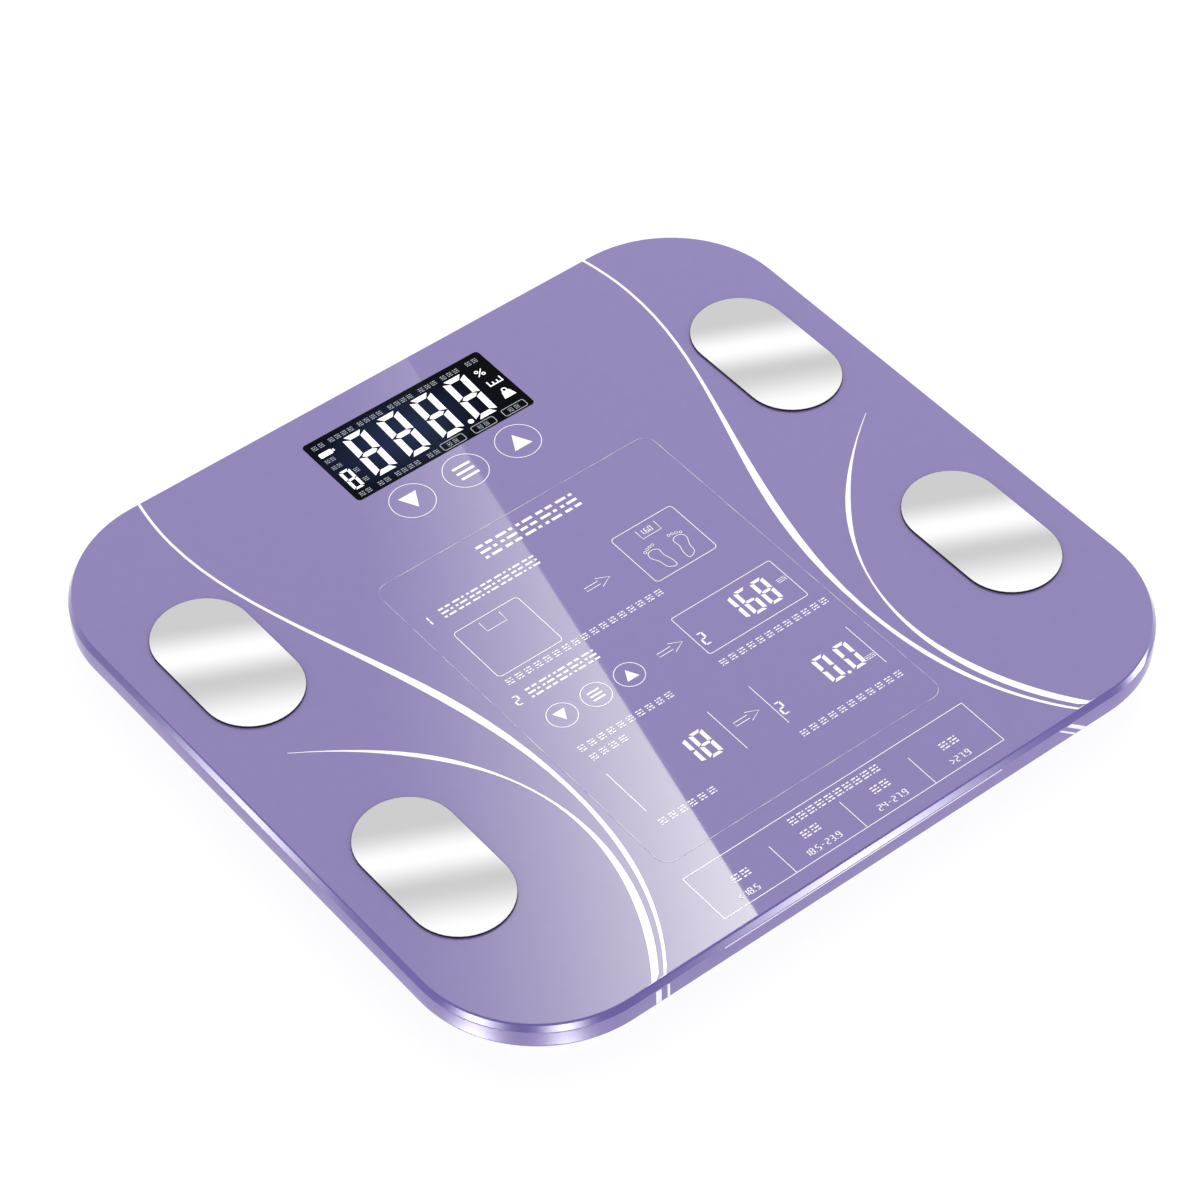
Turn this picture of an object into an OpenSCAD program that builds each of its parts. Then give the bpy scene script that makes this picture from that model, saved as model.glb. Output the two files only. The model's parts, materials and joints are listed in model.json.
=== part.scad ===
// Digital bathroom scale: a glass platform with four steel electrodes, bonded to a shallow
// moulded tray that stands on four load-sensing feet.
// Millimetres. +X to the right, +Y towards the display, +Z up.
// The origin is on the floor, under the middle of the glass.

/* [Glass] */
// Width of the glass, left to right
glass_w = 300; // [296:1:310]
// Depth of the glass, front to back
glass_d = 280; // [278:1:290]
// Thickness of the glass
glass_t = 10; // [6:0.5:12]
// Radius of the glass corners
glass_r = 48; // [44:1:52]
// How far the polished top bevel runs in from the side
bevel_in = 1.4; // [0.5:0.1:3]
// How far the polished top bevel runs down the side
bevel_down = 3; // [1:0.5:4]

/* [Electrodes] */
// Width of an electrode plate
electrode_w = 36.5; // [30:0.5:38]
// Length of an electrode plate, front to back
electrode_l = 65; // [55:1:68]
// Thickness of an electrode plate at its middle
electrode_t = 0.9; // [0.6:0.1:1.5]
// Distance of the electrode centres from the middle, left and right
electrode_x = 118; // [110:1:120]
// Distance of the electrode centres from the middle, front and back
electrode_y = 57.5; // [52:0.5:60]

/* [Display and keys] */
// Width of the clear display window
window_w = 78.5; // [70:0.5:80]
// Depth of the clear display window
window_d = 34.5; // [30:0.5:35]
// Distance of the window's centre behind the middle of the glass
window_y = 108; // [107:0.5:109]
// Corner radius of the clear display window
window_r = 2; // [1:0.5:4]
// Distance of the touch keys behind the middle of the glass
key_y = 79.5; // [78:0.5:80]
// Distance between neighbouring touch keys
key_pitch = 23.5; // [20:0.5:26]

/* [Tray and feet] */
// How far the tray stands in from the edge of the glass
tray_inset = 8; // [7:0.5:9]
// Gap between the floor and the tray
tray_gap = 3.5; // [3:0.5:4]
// Thickness of the tray's outer wall
tray_wall = 2.5; // [2:0.25:3]
// Distance of the foot centres from the middle, left and right
foot_x = 109; // [104:1:110]
// Distance of the foot centres from the middle, front and back
foot_y = 99; // [97:1:101]
// Radius of a foot cap
foot_r = 21.5; // [20.5:0.25:21.5]
// How far a foot drops when the scale is lifted
foot_drop = 1; // [0.5:0.1:1]

/* [Hidden] */
$fn = 64;
// Radial clearance of a running fit
fit = 0.05;
// How far a cut runs past the face that it opens
past = 1;

// Heights above the floor
pad_t = 2.2;
pad_out = 1.6;
pad_r = 18;
tray_z = tray_gap;
tray_floor = 2;
tray_top = 15;
bond_t = 0.8;
film_t = 0.2;
film_z = tray_top + bond_t;
glass_z = film_z + film_t;
glass_top = glass_z + glass_t;
glue_t = 0.1;

// Tray outline and its bevelled lower edge
tray_w = glass_w - 2 * tray_inset;
tray_d = glass_d - 2 * tray_inset;
tray_r = glass_r - tray_inset;
tray_bevel = 4.5;

// Foot wells: a ring wall with a roof that the load cell pushes up against
well_r = foot_r + 0.7;
well_wall = 2.3;
well_roof = 2.4;
well_roof_z = tray_top - well_roof;
hook_angles = [90, 210, 330];
hook_w = 6;
hook_gap = 0.5;
barb_z = 7.2;
barb_h = 1.2;
barb_reach = 1.5;

// Load cell
cell = 28;
cell_t = 2;
cell_z = 9;
cell_top = cell_z + cell_t;
tongue_w = 11;
slot_w = 1.8;
gauge_w = 8;
gauge_t = 1.4;
gauge_off = 5;

// Battery bay, for two AAA cells side by side
bay_y = 35;
bay_half_l = 25;
bay_half_d = 11.6;
bay_wall = 1.5;
bay_z = 2;
bay_roof_z = 14.3;
aaa_r = 5.25;
aaa_l = 44.5;
aaa_z = 8.9;
aaa_pitch = 11.5;
door_t = 1.4;
door_half_l = 27.6;
door_half_d = 13.6;
door_top = bay_z + door_t;
door_gap = 0.25;
hinge_gap = 0.9;
hinge_x = -29.1;
hinge_z = 3.3;
hinge_r = 0.8;
tab_ys = [-8, 8];
tab_w = 5;
tab_gap = 0.5;
contact_t = 0.4;
solder_tail = 1.8;

// Circuit board and display stack
board_t = 1.6;
board_z = 8;
board_top = board_z + board_t;
board_half_w = 50;
board_y0 = 66;
board_y1 = 128;
post_xy = [[-47, 70], [47, 70], [-47, 124], [47, 124]];
post_r = 3;
pilot_r = 1;
lcd_w = 86;
lcd_y0 = 87.4;
lcd_y1 = 127.4;
lcd_glass_t = 1.1;
lcd_top = 15.3;
lcd_film_t = 0.2;
lcd_mid = lcd_top - lcd_film_t - lcd_glass_t;
lcd_low = lcd_mid - lcd_glass_t;
lcd_ledge = 3.5;
frame_wall = 1.2;
light_t = 2.7;
light_z = 10.2;

stud_r = 1.5;
stud_hole_r = 3;
stud_reach = 5;
washer_r = 5;
washer_t = 1;
terminal_r = 3.2;
terminal_t = 0.6;
terminal_z = film_z - washer_t - terminal_t;
barrel_r = 1;
nut_af = 5.5;
nut_t = 2.2;
spring_wire_r = 0.3;
wire_d = 1;
wire_pitch = 1.5;
wire_sides = 8;

// Wire routes on the right-hand side, which mirror to the left
rear_cell_route = [[foot_x - 7, foot_y, 11.7], [foot_x - 25, foot_y, 11.7], [70, 98, 10.6],
    [58, 97, 10.2], [47.5, 97, 10.15]];
front_cell_route = [[foot_x - 7, -foot_y, 11.7], [foot_x - 25, -foot_y, 11.7], [73, -90, 10.6],
    [67, -60, 10.6], [65, 0, 10.6], [64, 50, 10.6], [62, 72, 10.6], [56, 84, 10.3], [47.5, 87, 10.15]];
rear_electrode_route = [[electrode_x - 5, electrode_y, 13.9], [106, 58, 13.6], [94, 62, 12.6],
    [76, 68, 12.6], [62, 73, 12.6], [54, 76, 10.8], [47.5, 76.5, 10.15]];
front_electrode_route = [[electrode_x - 5, -electrode_y, 13.9], [106, -57, 13.6], [94, -53, 12.6],
    [74, -46, 12.6], [60, -36, 12.2], [56, 0, 10.6], [56, 50, 10.6], [53, 64, 10.4], [45, 67.5, 10.15]];
plus_wire_route = [[26.9, 40.8, 11], [30, 45, 11.4], [30, 55, 11], [26, 64, 10.4], [24, 68.5, 10.15]];
minus_wire_route = [[26.9, 29.2, 11], [33, 32, 11.4], [35, 48, 11.2], [33, 62, 10.4], [31, 68.5, 10.15]];

// ---- Shared shapes ----

// Flat rectangle with round corners
module round_rect(w, d, r) {
    square([w - 2 * r, d], center = true);
    square([w, d - 2 * r], center = true);
    for (sx = [-1, 1]) for (sy = [-1, 1]) translate([sx * (w / 2 - r), sy * (d / 2 - r)]) circle(r);
}

// Upright slab with round corners, from height z
module slab(w, d, r, z, h) {
    translate([0, 0, z]) linear_extrude(h) round_rect(w, d, r);
}

// Slab whose side follows a list of [inset, height] steps from bottom to top
module stepped_slab(w, d, r, steps) {
    side = [for (s = steps) [r - s[0], s[1]]];
    low = steps[0][1];
    high = steps[len(steps) - 1][1];
    for (sx = [-1, 1]) for (sy = [-1, 1]) translate([sx * (w / 2 - r), sy * (d / 2 - r), 0])
        rotate_extrude() polygon(concat([[0, low]], side, [[0, high]]));
    prism(w / 2, d - 2 * r, steps);
    rotate([0, 0, 90]) prism(d / 2, w - 2 * r, steps);
}

// Straight length of that slab, half_w to each side in X
module prism(half_w, l, steps) {
    right = [for (s = steps) [half_w - s[0], s[1]]];
    left = [for (i = [len(steps) - 1:-1:0]) [-half_w + steps[i][0], steps[i][1]]];
    rotate([90, 0, 0]) linear_extrude(l, center = true) polygon(concat(right, left));
}

// Box given by its low corner and its high corner
module box(low, high) {
    translate(low) cube(high - low);
}

// Stadium with its long axis along Y
module stadium(w, l) {
    square([w, l - w], center = true);
    for (sy = [-1, 1]) translate([0, sy * (l - w) / 2]) circle(w / 2);
}

// Catmull-Rom spline through the points, n steps to each span
function spline(p, n) = [
    for (i = [0:len(p) - 2]) for (j = [0:n - 1]) span_point(p, i, j / n),
    p[len(p) - 1]];
function span_point(p, i, t) = let (
    a = p[max(i - 1, 0)], b = p[i], c = p[i + 1], d = p[min(i + 2, len(p) - 1)])
    0.5 * (2 * b + (c - a) * t + (2 * a - 5 * b + 4 * c - d) * t * t + (3 * b - a - 3 * c + d) * t * t * t);
function unit(v) = v / norm(v);
function tangent(p, i) = unit(p[min(i + 1, len(p) - 1)] - p[max(i - 1, 0)]);
// The same path moved sideways by s in the XY plane
function beside(p, s) = [for (i = [0:len(p) - 1]) let (t = tangent(p, i)) p[i] + s * unit([-t[1], t[0], 0])];

// Round tube of radius r along a path that nowhere runs straight up
module tube(path, r, sides) {
    rings = len(path);
    turn = 360 / sides;
    points = [for (i = [0:rings - 1])
        let (t = tangent(path, i), a = unit(cross(t, [0, 0, 1])), b = cross(a, t))
        for (k = [0:sides - 1]) path[i] + r * (cos(turn * k) * a + sin(turn * k) * b)];
    walls = [for (i = [0:rings - 2]) for (k = [0:sides - 1]) let (m = (k + 1) % sides)
        [i * sides + k, (i + 1) * sides + k, (i + 1) * sides + m, i * sides + m]];
    start = [for (k = [0:sides - 1]) k];
    end = [for (k = [sides - 1:-1:0]) (rings - 1) * sides + k];
    polyhedron(points, concat([start], walls, [end]));
}

// Helix from z0 to z1 whose radius runs from r0 to r1
function helix(r0, r1, z0, z1, turns, steps) = [for (i = [0:turns * steps])
    let (u = i / (turns * steps), r = r0 + (r1 - r0) * u, a = 360 * i / steps)
    [r * cos(a), r * sin(a), z0 + (z1 - z0) * u]];

module at_corner(x, y, side, end) {
    translate([side * x, end * y, 0]) children();
}

// The children and their mirror image on the left
module both_sides() {
    children();
    mirror([1, 0, 0]) children();
}

module each_corner(x, y) {
    for (side = [-1, 1]) for (end = [-1, 1]) at_corner(x, y, side, end) children();
}

// ---- Platform ----

module glass_platform() {
    arris = 0.5;
    color([0.75, 0.85, 0.85, 0.4]) difference() {
        stepped_slab(glass_w, glass_d, glass_r,
            [[arris, glass_z], [0, glass_z + arris], [0, glass_top - bevel_down], [bevel_in, glass_top]]);
        each_corner(electrode_x, electrode_y) translate([0, 0, glass_z - past])
            cylinder(h = glass_t + 2 * past, r = stud_hole_r);
    }
}

// Film under the glass, with a clear window over the display
module printed_film() {
    edge = 0.5;
    color([0.58, 0.53, 0.73]) difference() {
        slab(glass_w - 2 * edge, glass_d - 2 * edge, glass_r - edge, film_z, film_t);
        translate([0, window_y, film_z - past]) linear_extrude(film_t + 2 * past)
            round_rect(window_w, window_d, window_r);
        each_corner(electrode_x, electrode_y) translate([0, 0, film_z - past])
            cylinder(h = film_t + 2 * past, r = stud_hole_r);
    }
}

// ---- Electrodes ----

// Steel plate with a turned-down lip, so that its middle stands a little proud of its edge
module electrode(side, end) {
    lip = 0.5;
    base = glass_top + glue_t;
    color("silver") at_corner(electrode_x, electrode_y, side, end) {
        translate([0, 0, base]) linear_extrude(electrode_t - lip) stadium(electrode_w, electrode_l);
        translate([0, 0, base + electrode_t - lip]) stadium_bevel(electrode_w, electrode_l, lip);
    }
}

// Stadium of height h whose side slopes in by h
module stadium_bevel(w, l, h) {
    run = l - w;
    for (sy = [-1, 1]) translate([0, sy * run / 2, 0]) cylinder(h = h, r1 = w / 2, r2 = w / 2 - h);
    prism(w / 2, run, [[0, 0], [h, h]]);
}

module electrode_adhesive() {
    margin = 1;
    color("white") each_corner(electrode_x, electrode_y) translate([0, 0, glass_top]) linear_extrude(glue_t)
        difference() {
            stadium(electrode_w - 2 * margin, electrode_l - 2 * margin);
            circle(stud_hole_r);
        }
}

module electrode_studs() {
    low = film_z - stud_reach;
    color("silver") each_corner(electrode_x, electrode_y) translate([0, 0, low])
        cylinder(h = glass_top + glue_t - low, r = stud_r);
}

module electrode_washers() {
    color("ivory") each_corner(electrode_x, electrode_y) translate([0, 0, film_z - washer_t])
        ring(washer_r, stud_r + fit, washer_t);
}

module ring(r_out, r_in, h) {
    difference() {
        cylinder(h = h, r = r_out);
        translate([0, 0, -past]) cylinder(h = h + 2 * past, r = r_in);
    }
}

// Ring terminals, each with a tongue and a crimp barrel that points towards the middle of the scale
module electrode_terminals() {
    barrel_z = terminal_z - barrel_r + terminal_t;
    barrel_near = 4.2;
    barrel_far = 7;
    overlap = 0.5;
    color("gold") both_sides() for (end = [-1, 1]) at_corner(electrode_x, electrode_y, 1, end) {
        translate([0, 0, terminal_z]) ring(terminal_r, stud_r + fit, terminal_t);
        translate([0, 0, terminal_z])
            box([-barrel_near - overlap, -barrel_r / 2, 0],
                [-terminal_r + overlap, barrel_r / 2, terminal_t]);
        translate([-barrel_far, 0, barrel_z]) rotate([0, 90, 0])
            cylinder(h = barrel_far - barrel_near, r = barrel_r);
    }
}

module electrode_nuts() {
    color("silver") each_corner(electrode_x, electrode_y) translate([0, 0, terminal_z - nut_t]) difference() {
        cylinder(h = nut_t, r = nut_af / sqrt(3), $fn = 6);
        translate([0, 0, -past]) cylinder(h = nut_t + 2 * past, r = stud_r + fit);
    }
}

// ---- Tray ----

module base_tray() {
    inner_z = tray_z + tray_floor;
    color("whitesmoke") difference() {
        union() {
            tray_shell(inner_z);
            each_corner(foot_x, foot_y) translate([0, 0, tray_z])
                cylinder(h = tray_top - tray_z, r = well_r + well_wall);
            bay_housing();
            for (p = post_xy) translate([p[0], p[1], inner_z - past])
                cylinder(h = board_z - inner_z + past, r = post_r);
            tray_ribs(inner_z);
        }
        for (side = [-1, 1]) for (end = [-1, 1]) at_corner(foot_x, foot_y, side, end) well_cut(side);
        bay_cut();
        for (p = post_xy) translate([p[0], p[1], inner_z]) cylinder(h = board_z, r = pilot_r);
    }
    color("whitesmoke") each_corner(foot_x, foot_y) cell_seat();
}

// Open shallow box whose lower edge is bevelled inside and out
module tray_shell(inner_z) {
    difference() {
        stepped_slab(tray_w, tray_d, tray_r, [[tray_bevel, tray_z], [0, tray_z + tray_bevel], [0, tray_top]]);
        inset_slab(tray_wall, tray_z + tray_bevel);
        inset_slab(2 * tray_bevel, inner_z);
    }
}

// Slab of the tray's outline drawn in by an inset, from height z up through the tray's top
module inset_slab(inset, z) {
    slab(tray_w - 2 * inset, tray_d - 2 * inset, tray_r - inset, z, tray_top);
}

// Stiffening ribs on the tray's floor
module tray_ribs(inner_z) {
    rib_t = 1.5;
    rib_z = 9;
    low = inner_z - past;
    reach_x = tray_w / 2 - tray_wall;
    reach_y = tray_d / 2 - tray_wall;
    for (x = [-62, 62]) box([x - rib_t / 2, -reach_y, low], [x + rib_t / 2, reach_y, rib_z]);
    for (x = [-22, 22]) box([x - rib_t / 2, -reach_y, low], [x + rib_t / 2, bay_y - bay_half_d, rib_z]);
    for (y = [-75, -20]) box([-reach_x, y - rib_t / 2, low], [reach_x, y + rib_t / 2, rib_z]);
}

// Foot well, three windows for the foot's hooks and a slot for the load cell's wires
module well_cut(side) {
    wire_half_w = 3.5;
    wire_low = cell_top - 0.2;
    inner = well_r - past;
    outer = well_r + well_wall + past;
    translate([0, 0, tray_z - past]) cylinder(h = well_roof_z - tray_z + past, r = well_r);
    for (a = hook_angles) rotate([0, 0, a])
        box([inner, -hook_w / 2 - hook_gap, barb_z - foot_drop - 0.1],
            [outer, hook_w / 2 + hook_gap, barb_z + barb_h + 0.2]);
    mirror([side > 0 ? 1 : 0, 0, 0]) box([inner, -wire_half_w, wire_low], [outer, wire_half_w, well_roof_z]);
}

// Two rails under the well's roof that the load cell's rim bears on, and guides at its sides
module cell_seat() {
    rail = 3;
    guide = 1.6;
    guide_half_l = 5;
    side_gap = 0.1;
    for (sy = [-1, 1]) {
        translate([0, sy * (cell - rail) / 2, (cell_top + well_roof_z) / 2])
            cube([cell, rail, well_roof_z - cell_top], center = true);
        translate([0, sy * (cell / 2 + side_gap + guide / 2), 0])
            box([-guide_half_l, -guide / 2, cell_z + 0.5], [guide_half_l, guide / 2, well_roof_z]);
    }
}

// Battery bay: a raised pad around its mouth, a box that holds the cells and a thick surround for the door
module bay_housing() {
    rim = 2;
    rim_h = 3.5;
    corner_r = 5;
    translate([0, bay_y, bay_z]) linear_extrude(tray_z - bay_z + past)
        round_rect(2 * door_half_l + 13, 2 * door_half_d + 9, corner_r);
    box([-bay_half_l - bay_wall, bay_y - bay_half_d - bay_wall, tray_z],
        [bay_half_l + bay_wall, bay_y + bay_half_d + bay_wall, tray_top]);
    box([hinge_x - 1.5 * rim, bay_y - door_half_d - rim, tray_z],
        [door_half_l + 2 * rim, bay_y + door_half_d + rim, tray_z + rim_h]);
}

module bay_cut() {
    latch_half_w = 6;
    latch_h = 3.2;
    tail_half_w = 1.2;
    tail_z = [9.5, 12.5];
    translate([0, bay_y, 0]) {
        box([-bay_half_l, -bay_half_d, 0], [bay_half_l, bay_half_d, bay_roof_z]);
        box([-door_half_l - hinge_gap, -door_half_d - door_gap, 0],
            [door_half_l + door_gap, door_half_d + door_gap, door_top + fit]);
        for (y = tab_ys) hinge_cut(y);
        box([door_half_l - 4, -latch_half_w, 0], [door_half_l + 2, latch_half_w, door_top + latch_h]);
        for (s = [-1, 1]) translate([bay_half_l, s * aaa_pitch / 2, 0])
            box([-past, -tail_half_w, tail_z[0]], [bay_wall + past, tail_half_w, tail_z[1]]);
    }
}

// Socket for one hinge bead, open below so that the door's tab can swing down
module hinge_cut(y) {
    half_w = tab_w / 2 + tab_gap;
    lip = 0.6;
    translate([hinge_x, y, hinge_z]) rotate([90, 0, 0])
        cylinder(h = 2 * half_w, r = hinge_r + 2 * fit, center = true);
    box([hinge_x - lip, y - half_w, 0], [-door_half_l, y + half_w, hinge_z]);
    box([hinge_x, y - half_w, 0], [-door_half_l + 2, y + half_w, hinge_z + hinge_r]);
}

// Foam tape between each foot well's roof and the film
module bonding_discs() {
    color("dimgray") each_corner(foot_x, foot_y) translate([0, 0, tray_top])
        cylinder(h = bond_t, r = well_r + well_wall - 1.5);
}

module perimeter_gasket() {
    edge = 0.2;
    color("dimgray") translate([0, 0, tray_top]) linear_extrude(bond_t) difference() {
        round_rect(tray_w - 2 * edge, tray_d - 2 * edge, tray_r - edge);
        round_rect(tray_w - 2 * tray_wall, tray_d - 2 * tray_wall, tray_r - tray_wall);
    }
}

// ---- Feet and load cells ----

// Shallow cup with a cross rib, a boss whose nub pushes on the load cell and hooks that keep it in its well
module foot_cap(side, end) {
    shell = 2;
    rim_z = 6;
    boss_r = 6;
    nub_r = 3;
    nub_h = 0.7;
    rib_t = 1.5;
    bevel = 1;
    inner_z = pad_out + shell;
    low = inner_z - 0.5;
    color("gainsboro") at_corner(foot_x, foot_y, side, end) {
        difference() {
            rotate_extrude() polygon([[0, pad_out], [foot_r - bevel, pad_out], [foot_r, pad_out + bevel],
                [foot_r, rim_z], [foot_r - shell, rim_z], [foot_r - shell, inner_z], [0, inner_z]]);
            cylinder(h = pad_t, r = pad_r + 2 * fit);
        }
        translate([0, 0, low]) cylinder(h = cell_z - nub_h - low, r = boss_r);
        translate([0, 0, cell_z - nub_h]) cylinder(h = nub_h, r = nub_r);
        for (a = [0, 90]) rotate([0, 0, a])
            box([-foot_r + bevel, -rib_t / 2, low], [foot_r - bevel, rib_t / 2, rim_z - 0.5]);
        for (a = hook_angles) rotate([0, 0, a]) foot_hook(rim_z);
    }
}

module foot_hook(rim_z) {
    arm_t = 1.5;
    arm_out = foot_r - 0.2;
    box([arm_out - arm_t, -hook_w / 2, rim_z - 1], [arm_out, hook_w / 2, barb_z + barb_h]);
    box([arm_out - arm_t, -hook_w / 2, barb_z], [foot_r + barb_reach, hook_w / 2, barb_z + barb_h]);
}

// Rubber disc with three grip rings on its lower face
module foot_pad(side, end) {
    groove_d = 0.5;
    groove_w = 0.8;
    bevel = 0.6;
    color("darkslategray") at_corner(foot_x, foot_y, side, end) difference() {
        rotate_extrude() polygon([[0, 0], [pad_r - bevel, 0], [pad_r, bevel], [pad_r, pad_t], [0, pad_t]]);
        for (r = [5, 9, 13]) translate([0, 0, -past]) ring(r + groove_w, r, groove_d + past);
    }
}

// Steel plate with a C-shaped slot that leaves a bending tongue, its root towards the middle of the scale
module load_cell(side, end) {
    free_end = cell / 2 - 4;
    root = cell / 2 - 5;
    corner_r = 3;
    color("silver") at_corner(foot_x, foot_y, side, end) rotate([0, 0, side > 0 ? 180 : 0])
        translate([0, 0, cell_z]) linear_extrude(cell_t) difference() {
            round_rect(cell, cell, corner_r);
            for (sy = [-1, 1]) translate([(root - free_end) / 2, sy * (tongue_w + slot_w) / 2])
                square([root + free_end, slot_w], center = true);
            translate([-free_end + slot_w / 2, 0]) square([slot_w, tongue_w + 2 * slot_w], center = true);
        }
}

// Strain gauges under a patch of sealant on each tongue's root
module strain_gauges() {
    color("white") for (side = [-1, 1]) for (end = [-1, 1]) at_corner(foot_x, foot_y, side, end)
        translate([-side * gauge_off, 0, cell_top]) linear_extrude(gauge_t) round_rect(gauge_w, gauge_w, 2);
}

// ---- Electronics ----

module main_board() {
    hole_r = 1.4;
    color("darkgreen") difference() {
        box([-board_half_w, board_y0, board_z], [board_half_w, board_y1, board_top]);
        for (p = post_xy) translate([p[0], p[1], board_z - past])
            cylinder(h = board_t + 2 * past, r = hole_r);
    }
}

// Cross-head screws through the board's corners into the tray's posts
module board_screws() {
    head_r = 2.4;
    head_h = 1.4;
    grip = 2;
    slot = [3, 0.6, 1.2];
    color("silver") for (p = post_xy) translate([p[0], p[1], 0]) difference() {
        union() {
            translate([0, 0, board_top]) cylinder(h = head_h, r = head_r);
            translate([0, 0, board_z - grip]) cylinder(h = board_t + grip + head_h / 2, r = pilot_r - fit);
        }
        for (a = [0, 90]) rotate([0, 0, a]) translate([0, 0, board_top + head_h]) cube(slot, center = true);
    }
}

// Resin dome over the bare controller chip on the board's lower face
module controller_blob() {
    color("black") translate([-18, 104, board_z]) rotate([180, 0, 0]) rotate_extrude()
        polygon([[0, 0], [8, 0], [7.2, 0.8], [5, 1.4], [0, 1.7]]);
}

// Small parts on the board's lower face: a sensor amplifier, a backlight driver and two rows of passives
module board_chips() {
    color("dimgray") {
        under_board([14, 98], [10, 4, 1.6]);
        under_board([30, 110], [3, 8, 1.2]);
        for (x = [-38:6:-26]) under_board([x, 84], [3, 1.6, 0.8]);
        for (x = [8:6:32]) under_board([x, 86], [3, 1.6, 0.8]);
    }
}

// Block on the board's lower face, placed by its low corner
module under_board(corner, size) {
    translate([corner[0], corner[1], board_z - size[2]]) cube(size);
}

// Box in the display's outline drawn in by dx at the sides and dy front and back, more at the front
module display_box(dx, dy, front_extra, low, high) {
    box([-lcd_w / 2 + dx, lcd_y0 + dy + front_extra, low], [lcd_w / 2 - dx, lcd_y1 - dy, high]);
}

// Two glass plates, the upper one longer at the front to carry the contacts
module lcd_glass() {
    color([0.1, 0.12, 0.2]) {
        display_box(0, 0, 0, lcd_mid, lcd_mid + lcd_glass_t);
        display_box(0, 0, lcd_ledge, lcd_low, lcd_mid);
    }
}

module lcd_polariser() {
    color([0.05, 0.06, 0.1]) display_box(1, 1, 0, lcd_top - lcd_film_t, lcd_top);
}

module lcd_backlight() {
    color("white") display_box(3, 0.5, lcd_ledge, light_z, light_z + light_t);
}

module backlight_leds() {
    led = [1.8, 3, 1.6];
    color("lightyellow") for (i = [-1:1])
        translate([-lcd_w / 2 + 1, window_y + 9 * i - led[1] / 2, light_z + 0.2]) cube(led);
}

// Frame that carries the display, its light and its rubber strip
module lcd_frame() {
    color("black") difference() {
        display_box(-frame_wall, -frame_wall, 0, board_top, lcd_top);
        display_box(-2 * fit, -2 * fit, 0, lcd_low - 2 * fit, lcd_top + past);
        display_box(0.9, 0.4, lcd_ledge, light_z, lcd_top);
        strip_box(1, 0.3, board_top - past, lcd_top);
    }
}

module lcd_gasket() {
    gap = 0.5;
    color("black") difference() {
        display_box(-frame_wall, -frame_wall, 0, lcd_top, film_z);
        translate([0, window_y, lcd_top - past]) linear_extrude(2 * past)
            round_rect(window_w + 2 * gap, window_d + 2 * gap, window_r);
    }
}

// Box under the display's ledge, drawn in by dx at each end and dy front and back
module strip_box(dx, dy, low, high) {
    box([-lcd_w / 2 + dx, lcd_y0 + dy, low], [lcd_w / 2 - dx, lcd_y0 + lcd_ledge - dy, high]);
}

// Conductive rubber strip from the display's ledge down to the board
module zebra_strip() {
    color("slategray") strip_box(3, 0.6, board_top, lcd_mid);
}

// Coil that carries a touch key's field from the board to the back of the film
module touch_spring(position) {
    coil_r = 4;
    low = board_top + spring_wire_r;
    high = film_z - spring_wire_r;
    color("silver") translate([position * key_pitch, key_y, 0])
        tube(helix(coil_r, coil_r, low, high, 5, 10), spring_wire_r, 6);
}

// ---- Batteries ----

// AAA cell along X with its positive end towards dir
module battery(y, dir) {
    nub = 0.8;
    nub_r = 1.9;
    bevel = 0.3;
    shoulder = aaa_l - nub;
    color("seagreen") translate([0, y, aaa_z]) rotate([0, 90, 0]) mirror([0, 0, dir > 0 ? 0 : 1])
        translate([0, 0, bay_half_l - contact_t - aaa_l]) rotate_extrude()
            polygon([[0, 0], [aaa_r - bevel, 0], [aaa_r, bevel], [aaa_r, shoulder - bevel],
                [aaa_r - bevel, shoulder], [nub_r, shoulder], [nub_r, aaa_l], [0, aaa_l]]);
}

// Coil springs that press on the cells' negative ends
module battery_springs() {
    seat_r = 3.6;
    tip_r = 2.2;
    seat_x = bay_half_l - contact_t - spring_wire_r;
    tip_x = aaa_l + contact_t - bay_half_l + spring_wire_r;
    color("silver") for (s = [-1, 1]) translate([0, bay_y + s * aaa_pitch / 2, aaa_z])
        mirror([s > 0 ? 0 : 1, 0, 0]) rotate([0, -90, 0])
            tube(helix(tip_r, seat_r, tip_x, seat_x, 3, 10), spring_wire_r, 6);
}

// Contact plates at the ends of the bay: one joins the two cells, the others have tails for the wires
module battery_contacts() {
    low = 4.5;
    high = 13;
    plate_half_w = 4.6;
    tail_z = 10;
    color("silver") translate([0, bay_y, 0]) {
        box([-bay_half_l, -bay_half_d + 0.6, low], [-bay_half_l + contact_t, bay_half_d - 0.6, high]);
        for (s = [-1, 1]) translate([bay_half_l, s * aaa_pitch / 2, 0]) {
            box([-contact_t, -plate_half_w, low], [0, plate_half_w, high]);
            box([-contact_t, -1, tail_z], [solder_tail, 1, tail_z + contact_t]);
        }
    }
}

// Door with two hinge beads at its left end and a latch tongue at its right end
module battery_door() {
    grip_x = 16;
    grip_pitch = 2.5;
    grip_w = 1.2;
    grip_half_l = 6;
    grip_d = 0.5;
    color("whitesmoke") translate([0, bay_y, 0]) {
        difference() {
            box([-door_half_l, -door_half_d, bay_z], [door_half_l, door_half_d, door_top]);
            for (i = [0:3]) translate([grip_x + grip_pitch * i, 0, 0])
                box([0, -grip_half_l, 0], [grip_w, grip_half_l, bay_z + grip_d]);
        }
        for (y = tab_ys) {
            translate([hinge_x, y, hinge_z]) rotate([90, 0, 0])
                cylinder(h = tab_w, r = hinge_r, center = true);
            box([hinge_x, y - tab_w / 2, hinge_z - 0.5], [-door_half_l + 1.5, y + tab_w / 2, hinge_z + 0.1]);
        }
        latch_tongue();
    }
}

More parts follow.
